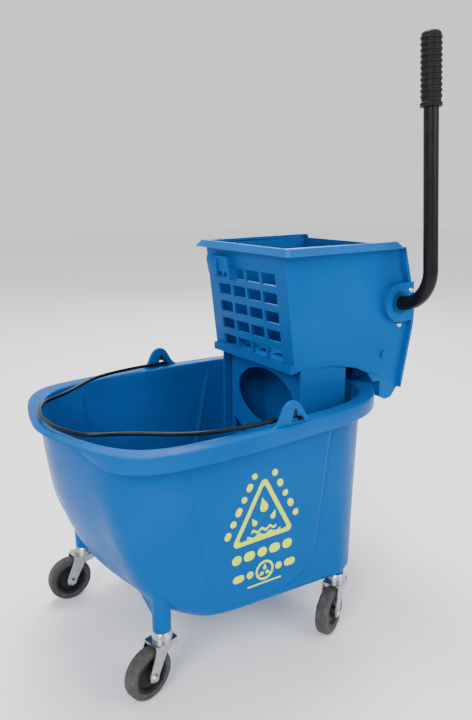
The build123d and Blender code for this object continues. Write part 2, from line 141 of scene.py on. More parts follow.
class Finish:
    """A node material with a Principled shader and helpers that add patterns to it."""

    def __init__(self, name, metallic=0.0, **fixed):
        self.material = bpy.data.materials.new(name)
        self.material.use_nodes = True
        self.tree = self.material.node_tree
        self.shader = self.tree.nodes["Principled BSDF"]
        self.shader.inputs["Metallic"].default_value = metallic
        for socket, value in fixed.items():
            self.shader.inputs[socket.replace("_", " ")].default_value = value
        self.place = self.tree.nodes.new("ShaderNodeTexCoord").outputs["Object"]
        self.bump = None

    def noise(self, scale, detail, rough=0.55, stretch=None):
        """A noise pattern, drawn out along an axis whose stretch is below 1."""
        node = self.tree.nodes.new("ShaderNodeTexNoise")
        node.inputs["Scale"].default_value = scale
        node.inputs["Detail"].default_value = detail
        node.inputs["Roughness"].default_value = rough
        source = self.place
        if stretch:
            mapping = self.tree.nodes.new("ShaderNodeMapping")
            mapping.inputs["Scale"].default_value = stretch
            self.tree.links.new(source, mapping.inputs["Vector"])
            source = mapping.outputs["Vector"]
        self.tree.links.new(source, node.inputs["Vector"])
        return node.outputs["Fac"]

    def ramp(self, factor, first, last):
        """A blend from one (position, colour) stop to another."""
        node = self.tree.nodes.new("ShaderNodeValToRGB")
        for element, (position, colour) in zip(node.color_ramp.elements, (first, last)):
            element.position = position
            element.color = colour
        self.tree.links.new(factor, node.inputs["Fac"])
        return node.outputs["Color"]

    def mix(self, factor, first, second):
        node = self.tree.nodes.new("ShaderNodeMix")
        node.data_type = "RGBA"
        self.tree.links.new(factor, node.inputs["Factor"])
        self.tree.links.new(first, node.inputs["A"])
        self.tree.links.new(second, node.inputs["B"])
        return node.outputs["Result"]

    def span(self, factor, low, high, start=0.3, end=0.7):
        """A pattern's values from start to end, mapped to low to high."""
        node = self.tree.nodes.new("ShaderNodeMapRange")
        node.inputs["From Min"].default_value = start
        node.inputs["From Max"].default_value = end
        node.inputs["To Min"].default_value = low
        node.inputs["To Max"].default_value = high
        self.tree.links.new(factor, node.inputs["Value"])
        return node.outputs["Result"]

    def colour(self, socket):
        self.tree.links.new(socket, self.shader.inputs["Base Color"])

    def roughness(self, socket):
        self.tree.links.new(socket, self.shader.inputs["Roughness"])

    def relief(self, height, depth, strength):
        """A bump of a depth in metres, on top of any bump added before it."""
        node = self.tree.nodes.new("ShaderNodeBump")
        node.inputs["Distance"].default_value = depth
        node.inputs["Strength"].default_value = strength
        self.tree.links.new(height, node.inputs["Height"])
        if self.bump:
            self.tree.links.new(self.bump, node.inputs["Normal"])
        self.bump = node.outputs["Normal"]
        self.tree.links.new(self.bump, self.shader.inputs["Normal"])


def shade(colour, factor):
    return tuple(min(1.0, c * factor) for c in colour[:3]) + (1,)


print("a darker red, as a test:", shade((1, 0, 0, 1), 0.5))

# %% [markdown]
# ### Blue plastic
# Moulded polypropylene is bright blue right through. Its skin is a fine satin texture left by the
# mould, with faint flow patches, and use leaves short pale scuffs where mops and walls rub it.
# The scuffs are a stretched noise that shows only at its peaks, which keeps them few and short.

# %% blue plastic
BLUE = (0.0, 0.080, 0.295, 1)
SCUFFED_BLUE = (0.01, 0.16, 0.44, 1)


def moulded_plastic(name, colour, gloss_low, gloss_high, scuffs):
    finish = Finish(name, IOR=1.49, Specular_IOR_Level=0.08)
    patches = finish.ramp(finish.noise(7, 3), (0.32, shade(colour, 0.93)),
                          (0.68, shade(colour, 1.05)))
    streaks = finish.noise(26, 5, 0.7, stretch=(1.0, 0.35, 3.2))
    pale = finish.ramp(streaks, (0.0, colour), (1.0, SCUFFED_BLUE))
    rubbed = finish.noise(38, 6, 0.75, stretch=(0.5, 2.6, 2.6))
    finish.colour(finish.mix(finish.span(rubbed, 0.0, scuffs, 0.62, 0.74), patches, pale))
    finish.roughness(finish.span(finish.noise(55, 4), gloss_low, gloss_high))
    finish.relief(finish.noise(1500, 2), 0.00006, 0.55)
    finish.relief(finish.noise(16, 2), 0.0006, 0.16)
    return finish.material


tub_blue = moulded_plastic("tub_blue_plastic", BLUE, 0.30, 0.42, 0.10)
wringer_blue = moulded_plastic("wringer_blue_plastic", shade(BLUE, 1.03), 0.33, 0.45, 0.12)
press_blue = moulded_plastic("press_blue_plastic", shade(BLUE, 0.92), 0.34, 0.48, 0.18)
bush_blue = moulded_plastic("bush_blue_plastic", shade(BLUE, 0.6), 0.30, 0.40, 0.05)
print("blue plastics made")

# %% [markdown]
# ### Zinc plate
# The caster forks are pressed steel with bright zinc plate: nearly mirror-like but softened by
# rolling marks, with slightly dull patches. The screws are the same steel, brighter. The marks
# are noise drawn out along one axis, which needs no direction map.

# %% zinc plate


def plated_steel(name, tone, rough_low, rough_high):
    finish = Finish(name, metallic=1.0)
    finish.colour(finish.ramp(finish.noise(90, 4), (0.3, shade(tone, 0.78)),
                              (0.7, shade(tone, 1.08))))
    rolled = finish.noise(140, 5, 0.7, stretch=(1, 1, 0.2))
    finish.roughness(finish.span(rolled, rough_low, rough_high))
    finish.relief(finish.noise(700, 3, 0.6, stretch=(1, 1, 0.15)), 0.00004, 0.5)
    return finish.material


zinc = plated_steel("zinc_plate", (0.46, 0.47, 0.48, 1), 0.22, 0.42)
bright_steel = plated_steel("bright_screw_steel", (0.80, 0.80, 0.80, 1), 0.12, 0.26)
print("zinc and bright steel made")

# %% [markdown]
# ### Rubber, nylon and black paint
# The tyres are grey non-marking rubber with a dusty tread, the wheel centres and the gears are
# dark nylon, the lever tube and the bail are painted semi-gloss black, and the hand grip is soft
# black rubber. One recipe of body, dust and grain serves rubber and nylon alike, because they
# differ only in tone, grain and gloss; the paint has orange-peel instead of dust.

# %% rubber and nylon


def rubber(name, tone, dust, grain, rough_low, rough_high):
    finish = Finish(name, IOR=1.5, Specular_IOR_Level=0.12)
    body = finish.ramp(finish.noise(60, 4), (0.3, shade(tone, 0.85)), (0.7, shade(tone, 1.15)))
    dusty = finish.ramp(finish.noise(300, 3), (0.2, shade(dust, 0.9)), (0.8, shade(dust, 1.1)))
    lies = finish.span(finish.noise(130, 6, 0.7), 0.0, 0.55, 0.45, 0.75)
    finish.colour(finish.mix(lies, body, dusty))
    finish.roughness(finish.span(finish.noise(200, 3), rough_low, rough_high))
    finish.relief(finish.noise(grain, 3), 0.0001, 0.5)
    return finish.material


NYLON_DUST = (0.03, 0.03, 0.03, 1)
tyre_grey = rubber("tyre_grey_rubber", (0.050, 0.050, 0.052, 1), (0.12, 0.118, 0.112, 1),
                   900, 0.48, 0.66)
grip_black = rubber("grip_black_rubber", (0.008, 0.008, 0.008, 1), (0.018, 0.018, 0.018, 1),
                    1400, 0.42, 0.6)
hub_black = rubber("hub_black_nylon", (0.010, 0.010, 0.011, 1), NYLON_DUST, 700, 0.30, 0.48)
gear_dark = rubber("gear_dark_nylon", (0.012, 0.012, 0.013, 1), NYLON_DUST, 600, 0.32, 0.5)
print("rubber and nylon made")

# %% black paint
PAINT_BLACK = (0.006, 0.006, 0.0065, 1)


def black_paint(name, rough_low, rough_high, peel):
    finish = Finish(name, IOR=1.5, Specular_IOR_Level=0.14)
    finish.colour(finish.ramp(finish.noise(40, 4), (0.3, shade(PAINT_BLACK, 0.7)),
                              (0.7, shade(PAINT_BLACK, 1.5))))
    finish.roughness(finish.span(finish.noise(120, 4), rough_low, rough_high))
    finish.relief(finish.noise(peel, 2), 0.00008, 0.4)
    return finish.material


tube_black = black_paint("tube_black_paint", 0.26, 0.38, 260)
wire_black = black_paint("wire_black_paint", 0.20, 0.32, 500)
print("black paints made")

# %% [markdown]
# ## Dressing the exact solids
# The casters, lever, bail and gears are already the right shape, so each keeps its solid and
# gets its finish. The casters' steel is dead sharp at its edges, though, and real pressed metal
# isn't. Rounding could be modelled in the solids, but modifiers leave them as they are: a Weld
# joins the loose triangles, a planar Decimate turns flat areas back into single faces, and a
# narrow Bevel rounds every real corner.

# %% finish by slot
FINISH_OF = {"tub_blue": tub_blue, "wringer_blue": wringer_blue, "press_blue": press_blue,
             "bush_blue": bush_blue, "zinc": zinc, "bright_steel": bright_steel,
             "hub_black": hub_black, "tyre_grey": tyre_grey, "gear_dark": gear_dark,
             "tube_black": tube_black, "wire_black": wire_black, "grip_black": grip_black}
slot_of = {part["node"]: part["material_slot"] for part in frame["record"]["subparts"]}
ROUNDED = {"caster_fork": 0.6 * MM, "caster_stem": 0.4 * MM, "caster_axle": 0.4 * MM}


def paint_node(node, finish):
    materials = frame["nodes"][node].data.materials
    materials.clear()
    materials.append(finish)


def round_edges(node, width):
    """Small rounded edges on a CAD node, by modifiers that leave its mesh as it is."""
    piece = frame["nodes"][node]
    weld = piece.modifiers.new("join", "WELD")
    weld.merge_threshold = 0.00001
    flat = piece.modifiers.new("flatten", "DECIMATE")
    flat.decimate_type = "DISSOLVE"
    flat.angle_limit = radians(1.0)
    edge = piece.modifiers.new("edges", "BEVEL")
    edge.width = width
    edge.segments = 3
    edge.limit_method = "ANGLE"
    edge.angle_limit = radians(35)
    edge.miter_outer = "MITER_ARC"
    edge.harden_normals = True
    edge.use_clamp_overlap = True


for node in frame["nodes"]:
    paint_node(node, FINISH_OF[slot_of[node]])
    for start, width in ROUNDED.items():
        if node.startswith(start):
            round_edges(node, width)
print("dressed", len(frame["nodes"]), "solids")

# %% [markdown]
# ## The tub
# The tub is one thin moulding: a boat-shaped basin with a proud bow, a wide rolled rim with a
# skirt turned down outside it, and a slightly raised panel on each side. A lofted block with a
# Solidify would give the basin but not its soft lip, so it is drawn as one closed skin. A ring
# of points follows the outline, and is extruded again and again: up the outside, out under the
# rim, round its skirt, over the top and down the inside. Each new ring is moved onto the outline
# of its own height, so wall thickness and every rounded edge are set by a few insets.

# %% outlines of the tub, in millimetres
FLOOR_Z, RIM_Z, WALL, LIP_PLATE = 96.0, 390.0, 4.0, 4.5
RIM = [(0, -328), (60, -319), (118, -303), (158, -286), (186, -264), (203, -234),
       (212, -188), (216, -115), (215, -35), (209, 80), (202, 130), (190, 166),
       (170, 198), (142, 226), (108, 244), (60, 252), (0, 254)]
HULL = [(0, -312), (56, -303), (110, -285), (144, -266), (166, -244), (180, -215),
        (188, -176), (192, -110), (191, -35), (187, 76), (181, 121), (171, 151),
        (156, 179), (133, 202), (104, 217), (58, 226), (0, 229)]
FOOT = [(0, -165), (46, -163), (90, -159), (122, -154), (147, -147), (164, -137),
        (174, -121), (181, -90), (188, -20), (196, 66), (199, 100), (189, 128),
        (168, 149), (142, 163), (114, 175), (64, 187), (0, 191)]


def along(plan, t):
    """Point of a half plan at parameter t, on a smooth curve that meets its mirror image."""
    last = len(plan) - 1
    i = min(int(t), last - 1)
    near = []
    for k in (i - 1, i, i + 1, i + 2):
        if 0 <= k <= last:
            near.append(plan[k])
        else:
            x, y = plan[-k if k < 0 else 2 * last - k]
            near.append((-x, y))
    f = t - i
    weights = (-f / 2 + f * f - f ** 3 / 2, 1 - 2.5 * f * f + 1.5 * f ** 3,
               f / 2 + 2 * f * f - 1.5 * f ** 3, -f * f / 2 + f ** 3 / 2)
    return Vector((sum(w * p[0] for w, p in zip(weights, near)),
                   sum(w * p[1] for w, p in zip(weights, near))))


print("tub", 2 * max(x for x, y in RIM), "mm wide over its rim")

# %% rings that follow the outlines
HALF_COUNT, FINE_STEPS = 250, 40


def even_steps(plan, count):
    """Parameters that cut a half plan into equal lengths."""
    fine = [i / FINE_STEPS for i in range(FINE_STEPS * (len(plan) - 1) + 1)]
    travelled = [0.0]
    for a, b in zip(fine, fine[1:]):
        travelled.append(travelled[-1] + (along(plan, b) - along(plan, a)).length)
    steps, k = [], 0
    for i in range(count + 1):
        goal = travelled[-1] * i / count
        while k < len(fine) - 2 and travelled[k + 1] < goal:
            k += 1
        part = (goal - travelled[k]) / (travelled[k + 1] - travelled[k])
        steps.append(fine[k] + part * (fine[k + 1] - fine[k]))
    return steps


STEPS = even_steps(HULL, HALF_COUNT)


def whole_ring(half):
    """A half outline and its mirror image as one closed ring."""
    return half + [Vector((-p.x, p.y)) for p in reversed(half[1:-1])]


def inward_at(ring, i):
    """Direction square to a ring at one of its points, towards its inside."""
    run = ring[(i + 1) % len(ring)] - ring[i - 1]
    return Vector((-run.y, run.x)).normalized()


def moved_in(ring, amount):
    """Every point of a ring moved square to its neighbours, inward for a positive amount."""
    return [p + inward_at(ring, i) * amount for i, p in enumerate(ring)]


rim_ring = whole_ring([along(RIM, t) for t in STEPS])
print("rings of", len(rim_ring), "points")

# %% how the wall sweeps from foot to rim
BOW_START, BOW_REACH = 40.0, 160.0
SHOULDER_X, SHOULDER_WIDTH = 165.0, 40.0


def eased(share):
    """A share held between 0 and 1, with a soft start and a soft end."""
    share = min(1.0, max(0.0, share))
    return share * share * (3 - 2 * share)


def wall_share(x, y, z):
    """How far the wall has swept out at a height: the bow is rounded under, fuller at its
    shoulders, and the rest of the wall is straight."""
    high = (z - FLOOR_Z) / (RIM_Z - FLOOR_Z)
    forward = eased((-y - BOW_START) / BOW_REACH)
    shoulder = exp(-((abs(x) - SHOULDER_X) / SHOULDER_WIDTH) ** 2)
    swept = (1 - (1 - high) ** (1.85 + 3.2 * shoulder)) ** (0.52 + 0.29 * shoulder)
    return high * (1 - forward) + swept * forward


def wall_ring(z, inset=0.0):
    """The wall's outline at a height, set in by an amount."""
    half = []
    for t in STEPS:
        top, foot = along(HULL, t), along(FOOT, t)
        half.append(foot.lerp(top, wall_share(top.x, top.y, z)))
    return moved_in(whole_ring(half), inset)


print("half way up, the bow has swept out", round(wall_share(0, -312, (FLOOR_Z + RIM_Z) / 2), 2))

# %% [markdown]
# Each side carries a panel shaped like a U, raised by a little over two millimetres, with a fine
# groove round its edge. It could be a separate plate, but it is part of the same moulding, so the
# wall's rings are pushed out where they cross it, by how deep inside the U each point lies.

# %% the raised side panels
PANEL_CORNERS = [(-186, 384), (-142, 116), (38, 110), (88, 384)]
PANEL_ROUND, PANEL_RAISE, PANEL_EDGE = 58.0, 2.3, 4.5
PANEL_TOP, PANEL_FADE = 378.0, 26.0
GROOVE_DEPTH, GROOVE_WIDTH = 1.1, 2.6


def panel_depth(y, z):
    """Distance in from the edge of the side panel, negative outside it."""
    inside = []
    for (ya, za), (yb, zb) in zip(PANEL_CORNERS, PANEL_CORNERS[1:]):
        length = hypot(yb - ya, zb - za)
        inside.append(((z - za) * (yb - ya) - (y - ya) * (zb - za)) / length)
    front, low, rear = inside
    depth = min(inside)
    for side in (front, rear):
        if side < PANEL_ROUND and low < PANEL_ROUND:
            corner = PANEL_ROUND - hypot(PANEL_ROUND - side, PANEL_ROUND - low)
            depth = min(depth, corner)
    return depth


def panel_raise(y, z):
    """How far the wall stands out at a place, with the groove taken off."""
    depth = panel_depth(y, z)
    fade = min(1.0, max(0.0, (PANEL_TOP - z) / PANEL_FADE))
    groove = GROOVE_DEPTH * exp(-((depth + 3.4) / GROOVE_WIDTH) ** 2)
    return (PANEL_RAISE * eased((depth + 2.0) / PANEL_EDGE) - groove) * fade


def panelled(ring, z):
    """A wall ring pushed out where it crosses the side panels."""
    return [p - inward_at(ring, i) * panel_raise(p.y, z) for i, p in enumerate(ring)]


print("panel stands out", round(panel_raise(-40, 250), 2), "mm at its middle")

# %% the tub's levels, from the outer foot over the rim to the inner floor
SKIRT_START, SKIRT_REACH = 92.0, 72.0
WALL_STEPS, WALL_STEP = 60, 4.4
OUTER_START, INNER_START = 121.0, 381.5
UNDER_RIM = 385.5
FOOT_LEVELS = (96.0, 96.5, 97.2, 98.2, 99.4, 100.8, 102.4, 104.2, 106.2, 108.5,
               111.0, 114.0, 117.3)


def level(ring, z):
    return [Vector((p.x, p.y, z)) for p in ring]


def skirt_level(ring, low):
    """A ring at the foot of the rim's skirt, which dies away at the tip of the bow."""
    under = RIM_Z - LIP_PLATE
    drops = [eased((abs(p.x) - SKIRT_START) / SKIRT_REACH) if p.y < 0 else 1.0 for p in ring]
    return [Vector((p.x, p.y, under - (under - low) * drop - 0.2))
            for p, drop in zip(ring, drops)]


def tucked(z):
    """Inset that rounds the wall in to the floor over its lowest few millimetres."""
    return 0.25 * max(0.0, 104.0 - z) ** 1.5


def between(first, second, share):
    return [a.lerp(b, share) for a, b in zip(first, second)]


levels = [level(panelled(wall_ring(z, tucked(z)), z), z) for z in FOOT_LEVELS]
for i in range(WALL_STEPS):
    z = OUTER_START + i * WALL_STEP
    levels.append(level(panelled(wall_ring(z), z), z))
levels.append(level(wall_ring(383.0), 383.0))
levels.append(level(moved_in(wall_ring(UNDER_RIM), -1.5), 385.2))
levels.append(level(between(wall_ring(UNDER_RIM), moved_in(rim_ring, 4.0), 0.5), UNDER_RIM))
levels.append(level(moved_in(rim_ring, 5.0), UNDER_RIM))
for inset, low in ((4.0, 383.0), (3.8, 367.0), (3.0, 365.3), (1.6, 365.0), (0.4, 365.8),
                   (0.0, 367.4)):
    levels.append(skirt_level(moved_in(rim_ring, inset), low))
for inset, z in ((0.0, 386.6), (0.5, 388.4), (1.7, 389.6), (3.4, RIM_Z)):
    levels.append(level(moved_in(rim_ring, inset), z))
for share in (0.3, 0.7):
    levels.append(level(between(moved_in(rim_ring, 3.4), wall_ring(RIM_Z, 0.8), share), RIM_Z))
for outline_z, inset, z in ((RIM_Z, 0.8, RIM_Z), (389.4, 2.6, 389.5), (388.0, 3.7, 388.2),
                            (386.0, WALL, 386.0)):
    levels.append(level(wall_ring(outline_z, inset), z))
for i in range(WALL_STEPS):
    z = INNER_START - i * WALL_STEP
    sunk = WALL * (RIM_Z - z) / (RIM_Z - FLOOR_Z)
    levels.append(level(panelled(wall_ring(z - sunk, WALL - 0.5), z), z))
for z in reversed(FOOT_LEVELS):
    levels.append(level(wall_ring(z, WALL - 0.5 + tucked(z)), z + WALL))
print("tub skin of", len(levels), "levels")

# %% helpers that make a skin and a finished piece


def only_verts(geometry):
    return [item for item in geometry if isinstance(item, bmesh.types.BMVert)]


def rings_to_skin(bm, rings):
    """Extrude a first ring through all the others, moving each new ring into place."""
    count = len(rings[0])
    foot = bmesh.ops.create_circle(bm, segments=count, radius=1.0)["verts"]
    for vert, place in zip(foot, rings[0]):
        vert.co = place * MM
    current = list(foot)
    for ring in rings[1:]:
        edges = [bm.edges.get((current[i], current[(i + 1) % count])) for i in range(count)]
        fresh = set(only_verts(bmesh.ops.extrude_edge_only(bm, edges=edges)["geom"]))
        above = []
        for vert in current:
            above.append(next(e.other_vert(vert) for e in vert.link_edges
                              if e.other_vert(vert) in fresh))
        for vert, place in zip(above, ring):
            vert.co = place * MM
        current = above
    return foot, current


def finish_piece(bm, name, finish, body, smooth=35, outward=True):
    """Make a mesh object of a bmesh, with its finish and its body."""
    bmesh.ops.remove_doubles(bm, verts=bm.verts, dist=0.000005)
    if outward:
        bmesh.ops.recalc_face_normals(bm, faces=bm.faces)
    mesh = bpy.data.meshes.new(name)
    bm.to_mesh(mesh)
    bm.free()
    if "custom_normal" in mesh.attributes:
        mesh.attributes.remove(mesh.attributes["custom_normal"])
    mesh.shade_smooth()
    mesh.set_sharp_from_angle(angle=radians(smooth))
    mesh.materials.append(finish)
    piece = bpy.data.objects.new(name, mesh)
    bpy.context.collection.objects.link(piece)
    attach(piece, body)
    print(name, len(mesh.polygons), "faces")
    return piece


print("skin helpers ready")

# %% tub shell
bm = bmesh.new()
outer_foot, inner_foot = rings_to_skin(bm, levels)
bmesh.ops.contextual_create(bm, geom=outer_foot)
bmesh.ops.contextual_create(bm, geom=inner_foot)
tub_shell = finish_piece(bm, "tub_shell", tub_blue, "tub", smooth=50)
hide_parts("tub")

# %% [markdown]
# ## Caster legs
# Four stub legs carry the casters. The front pair hangs below the sweeping bow, so each leg's top
# follows the hull and ends inside its wall, with a thin web reaching in towards the middle. The
# rear pair is moulded into the corners, and its sockets stand a little way up inside the basin.
# A Boolean would trim plain cylinders to the hull, but rings that stop at the hull's own height
# give clean faces and can't fail.

# %% where the hull passes over a point
LEG_RADIUS, LEG_FOOT, LEG_ROUND = 14.0, 95.0, 1.6
SOCKET_TOP, REAR_INSET = 137.0, 2.6
STEM_PLACES = {"front_near": (149, -210), "front_far": (-149, -210),
               "rear_near": (185, 106), "rear_far": (-185, 106)}
HULL_TOP = 300
RING_AT = {z: wall_ring(z, WALL / 2) for z in range(98, HULL_TOP, 3)}


def inside_ring(ring, x, y):
    inside = False
    for a, b in zip(ring, ring[1:] + ring[:1]):
        if (a.y > y) != (b.y > y) and x < a.x + (y - a.y) * (b.x - a.x) / (b.y - a.y):
            inside = not inside
    return inside


def hull_height(x, y):
    """Height at which the middle of the hull's wall passes over a point."""
    for z, ring in RING_AT.items():
        if inside_ring(ring, x, y):
            return z
    return HULL_TOP


print("hull passes over the front stems at", hull_height(*STEM_PLACES["front_near"]), "mm")

# %% caster legs
AROUND = [(cos(2 * pi * i / 40), sin(2 * pi * i / 40)) for i in range(40)]
WEB_Y, WEB_THICK = -212.5, 5
WEB_FOOT = [(149, LEG_FOOT + 3), (120, LEG_FOOT + 12), (90, LEG_FOOT + 25), (64, LEG_FOOT + 42)]


def leg_ring(x, y, radius, z):
    return [Vector((x + radius * c, y + radius * s, z)) for c, s in AROUND]


def leg(bm, x, y, top=None):
    """A round leg up to a given top, or up to the hull."""
    shoulder = LEG_FOOT + LEG_ROUND
    rings = [leg_ring(x, y, radius, z)
             for radius, z in ((LEG_RADIUS - 5, LEG_FOOT), (LEG_RADIUS - 1.5, LEG_FOOT),
                               (LEG_RADIUS - 0.4, LEG_FOOT + 0.5), (LEG_RADIUS, shoulder))]
    if top is None:
        outline = rings[-1]
        heights = [max(hull_height(p.x, p.y), LEG_FOOT + 4) for p in outline]
        for share in (0.4, 0.75, 1.0):
            rings.append([Vector((p.x, p.y, shoulder + (height - shoulder) * share))
                          for p, height in zip(outline, heights)])
    else:
        rings += [leg_ring(x, y, radius, z)
                  for radius, z in ((LEG_RADIUS, top - 2), (LEG_RADIUS - 0.6, top - 0.6),
                                    (LEG_RADIUS - 2, top))]
    foot, head = rings_to_skin(bm, rings)
    bmesh.ops.contextual_create(bm, geom=foot)
    bmesh.ops.contextual_create(bm, geom=head)


def web(bm, side):
    """Thin fin from a front leg in towards the middle, its top edge buried in the hull."""
    stem_y = STEM_PLACES["front_near"][1]
    top = [(x, max(hull_height(side * x, stem_y), z + 1)) for x, z in WEB_FOOT]
    low, high = [[bm.verts.new(Vector((side * x, WEB_Y, z)) * MM) for x, z in row]
                 for row in (WEB_FOOT, top)]
    faces = [bm.faces.new((low[i], low[i + 1], high[i + 1], high[i]))
             for i in range(len(WEB_FOOT) - 1)]
    bmesh.ops.solidify(bm, geom=faces, thickness=-WEB_THICK * MM)


bm = bmesh.new()
for x, y in STEM_PLACES.values():
    if y < 0:
        leg(bm, x, y)
    else:
        leg(bm, x - REAR_INSET * x / abs(x), y, SOCKET_TOP)
for side in (-1, 1):
    web(bm, side)
caster_legs = finish_piece(bm, "caster_legs", tub_blue, "tub")

# %% [markdown]
# ## Bail ears
# On each side the rim rises in a bell-shaped ear that holds the wire bail in a keyhole slot. A
# Boolean could cut the slot, but its edges would be hard to round. So the outline is drawn once,
# the keyhole is joined to it as an inner loop, the plate between them is thickened, and a bevel
# rounds the edges of both.

# %% helpers for plates and soft edges


def closed_loop(bm, places):
    """Edges of a closed outline through places in metres."""
    ring = [bm.verts.new(place) for place in places]
    return [bm.edges.new((ring[i], ring[(i + 1) % len(ring)])) for i in range(len(ring))]


def thicken(bm, faces, move):
    """Extrude faces by a move in millimetres and keep the first ones as the back."""
    grown = bmesh.ops.extrude_face_region(bm, geom=faces, use_keep_orig=True)["geom"]
    moved = only_verts(grown)
    bmesh.ops.translate(bm, vec=Vector(move) * MM, verts=moved)
    return moved


def soften(bm, edges, radius, segments):
    bmesh.ops.bevel(bm, geom=edges, offset=radius * MM, offset_type="OFFSET",
                    segments=segments, profile=0.5, affect="EDGES", clamp_overlap=True,
                    material=-1)


print("plate helpers ready")

# %% bail ears, with outlines as (along, up) millimetres
EAR_X, EAR_THICK = 202.5, 6.5
EAR_OUTLINE = [(-52, 388.6), (-47, 390.2), (-41, 394.5), (-36, 402), (-32, 411), (-27, 419),
               (-20, 424.6), (-12, 426.4), (-4, 424.4), (2, 419.5), (7, 411.5), (12, 402.5),
               (18, 395), (25, 390.6), (32, 388.6)]
KEYHOLE = [(-2.2, 400.6), (-5.5, 412), (-7.4, 413.8), (-9.6, 412), (-12.6, 400),
           (-14.6, 394.6), (-12, 393.2), (-3, 393.6), (0.5, 394.0), (3.6, 394.6),
           (5.2, 397.5), (3.4, 400.4), (0.6, 400.8)]


def ear(bm, side):
    edges = []
    for outline in (EAR_OUTLINE, KEYHOLE):
        edges += closed_loop(bm, [Vector((side * EAR_X, y, z)) * MM for y, z in outline])
    plate = bmesh.ops.triangle_fill(bm, use_beauty=True, use_dissolve=False, edges=edges)["geom"]
    plate = [item for item in plate if isinstance(item, bmesh.types.BMFace)]
    thicken(bm, plate, (side * EAR_THICK, 0, 0))


bm = bmesh.new()
for side in (-1, 1):
    ear(bm, side)
bmesh.ops.recalc_face_normals(bm, faces=bm.faces)
sharp = [e for e in bm.edges if len(e.link_faces) == 2 and e.calc_face_angle(0) > radians(60)]
soften(bm, sharp, 1.3, 3)
bail_ears = finish_piece(bm, "bail_ears", tub_blue, "tub", smooth=40)

# %% [markdown]
# A dark wedge of painted shade fills the upper part of each keyhole, where the slot round the
# wire's hooked end lies in shadow. It is a small wedge, thickened and softened as the ears are.

# %% painted shade in the keyholes
# outline of the dark wedge that paints the shadowed top of each keyhole
KEYHOLE_SHADE = [(-2.9, 401.3), (-5.9, 411.4), (-7.4, 413.0), (-9.2, 411.4), (-12.1, 401.0),
           (-7.5, 400.9)]
KEYHOLE_SHADE_SINK, KEYHOLE_SHADE_THICK = 1.0, 4.4

bm = bmesh.new()
for side in (-1, 1):
    ring = [bm.verts.new(Vector((side * (EAR_X + KEYHOLE_SHADE_SINK), y, z)) * MM) for y, z in KEYHOLE_SHADE]
    thicken(bm, [bm.faces.new(ring)], (side * KEYHOLE_SHADE_THICK, 0, 0))
soften(bm, bm.edges[:], 0.5, 2)
# the dark nylon finish here is painted shade for the keyhole, not a separate part
keyhole_shade_wedges = finish_piece(bm, "keyhole_shade_wedges", hub_black, "tub")

# %% [markdown]
# ## Side mark
# A yellow-green mark is printed on each side panel. It is drawn here as plain generic signs, with
# no words: a rounded triangle round drops and ripples of water, short bars where lines of print
# would be, and a ring of drops below. A pattern in the blue plastic could colour it, but a thin
# film of ink is its own piece on the real tub as well. Each sign is a flat outline thickened to a
# film, then laid on the wall so that it follows its slope.

# %% the wall under the mark
SIDE_RINGS = {}
for step in range(270):
    z = 104.0 + step
    near_side = [p for p in panelled(wall_ring(z), z) if p.x > 150 and -260 < p.y < 140]
    SIDE_RINGS[z] = sorted(near_side, key=lambda p: p.y)


def wall_x(y, z):
    """Outside of the near wall at a place on the panel."""
    ring = SIDE_RINGS[min(SIDE_RINGS, key=lambda ring_z: abs(ring_z - z))]
    for a, b in zip(ring, ring[1:]):
        if a.y <= y <= b.y and b.y > a.y:
            return a.x + (b.x - a.x) * (y - a.y) / (b.y - a.y)
    return ring[-1].x


print("wall at the mark's middle:", round(wall_x(-50, 220), 1), "mm out")

# %% flat shapes in the (along, up) plane


def turned(points, centre, angle):
    c, s = cos(radians(angle)), sin(radians(angle))
    return [(centre[0] + x * c - z * s, centre[1] + x * s + z * c) for x, z in points]


def filled(bm, outline, holes=()):
    """A flat face, with holes if given."""
    edges = []
    for loop in (outline, *holes):
        edges += closed_loop(bm, [(y, z, 0) for y, z in loop])
    bmesh.ops.triangle_fill(bm, use_beauty=True, use_dissolve=False, edges=edges)


def arc(centre, radius, start, end, count):
    angles = [radians(start + (end - start) * i / count) for i in range(count + 1)]
    return [(centre[0] + radius * cos(a), centre[1] + radius * sin(a)) for a in angles]


def rounded(corners, radius, count=8):
    """Outline of a polygon with its corners rounded by arcs."""
    result = []
    for i, corner in enumerate(corners):
        here = Vector(corner)
        back = (Vector(corners[i - 1]) - here).normalized()
        ahead = (Vector(corners[(i + 1) % len(corners)]) - here).normalized()
        half = back.angle(ahead) / 2
        reach = radius / tan(half)
        a, b = here + back * reach, here + ahead * reach
        centre = here + (back + ahead).normalized() * (radius / sin(half))
        for k in range(count + 1):
            p = a.lerp(b, k / count) - centre
            result.append(tuple(centre + p.normalized() * radius))
    return result


def bar(bm, centre, length, height, angle=0):
    x, z = length / 2, height / 2
    outline = rounded([(-x, -z), (x, -z), (x, z), (-x, z)], z * 0.98, 5)
    filled(bm, turned(outline, centre, angle))


def drop(bm, centre, size, angle):
    outline = arc((0, 0), size, -225, 45, 18) + [(0, size * 2.3)]
    filled(bm, turned(outline, centre, angle))


print("a rounded square has", len(rounded([(0, 0), (9, 0), (9, 9), (0, 9)], 2)), "points")

# %% the triangle with its drops and ripples
APEX, LEFT, RIGHT = Vector((-53.0, 315.0)), Vector((-113.0, 209.0)), Vector((4.0, 209.0))
MIDDLE = (APEX + LEFT + RIGHT) / 3
RIPPLES = ((46, 228), (62, 219))
RIPPLE_POINTS, RIPPLE_RISE, RIPPLE_THICK = 25, 2.2, 4.2


def triangle(shrink):
    return [MIDDLE + (corner - MIDDLE) * shrink for corner in (APEX, LEFT, RIGHT)]


